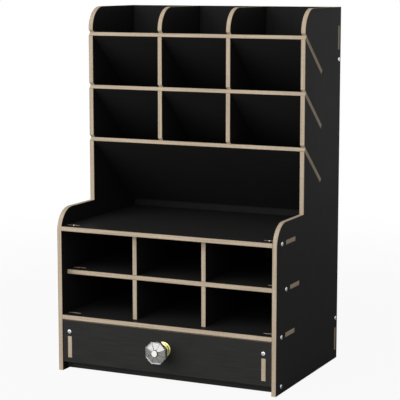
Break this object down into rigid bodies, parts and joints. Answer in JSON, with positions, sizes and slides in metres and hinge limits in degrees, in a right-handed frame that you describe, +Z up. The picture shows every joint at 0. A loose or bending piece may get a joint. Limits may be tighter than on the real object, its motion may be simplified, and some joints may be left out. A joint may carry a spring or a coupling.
{
  "type": "desktop organizer",
  "caption": "Flat-pack desktop organizer in black laminated board: sloping pen shelves above a small desk, open cubbies below and a drawer with a crystal knob.",
  "frame": {"origin": "bottom centre of the bounding box, from the face of the knob to the rear edges of the side panels", "axes": "+Z up, +Y towards the back of the organizer, +X to the right seen from the front"},
  "size_m": [0.3376, 0.266, 0.5145],
  "materials": {
    "black_board": "satin black laminate on fibreboard, raw tan edges",
    "brown_hardboard": "smooth brown hardboard",
    "plated_steel": "bright zinc plate",
    "polished_brass": "polished pale brass, silvered where the crystal covers it",
    "clear_crystal": "clear cut crystal"
  },
  "bodies": {
    "cabinet": {"left_side_panel": "black_board", "right_side_panel": "black_board", "back_panel": "black_board", "desk_board": "black_board", "middle_shelf": "black_board", "cubby_floor": "black_board", "lower_divider_left": "black_board", "lower_divider_right": "black_board", "upper_divider_left": "black_board", "upper_divider_right": "black_board", "upper_shelf_top": "black_board", "upper_shelf_middle": "black_board", "upper_shelf_bottom": "black_board", "front_base_rail": "black_board", "rear_base_rail": "black_board", "side_bolts_left": "plated_steel", "side_bolts_right": "plated_steel", "side_nuts_left": "plated_steel", "side_nuts_right": "plated_steel", "rear_rail_screws": "plated_steel"},
    "drawer": {"drawer_front": "black_board", "drawer_back": "black_board", "drawer_side_left": "black_board", "drawer_side_right": "black_board", "drawer_bottom": "brown_hardboard", "drawer_front_bolts": "plated_steel", "drawer_back_bolts": "plated_steel", "drawer_nuts": "plated_steel", "knob_crystal": "clear_crystal", "knob_base": "polished_brass", "knob_screw": "plated_steel"}
  },
  "joints": [
    {"name": "drawer_slide", "type": "slide", "parent": "cabinet", "child": "drawer", "axis": [0, -1, 0], "range_m": [0, 0.17]}
  ]
}
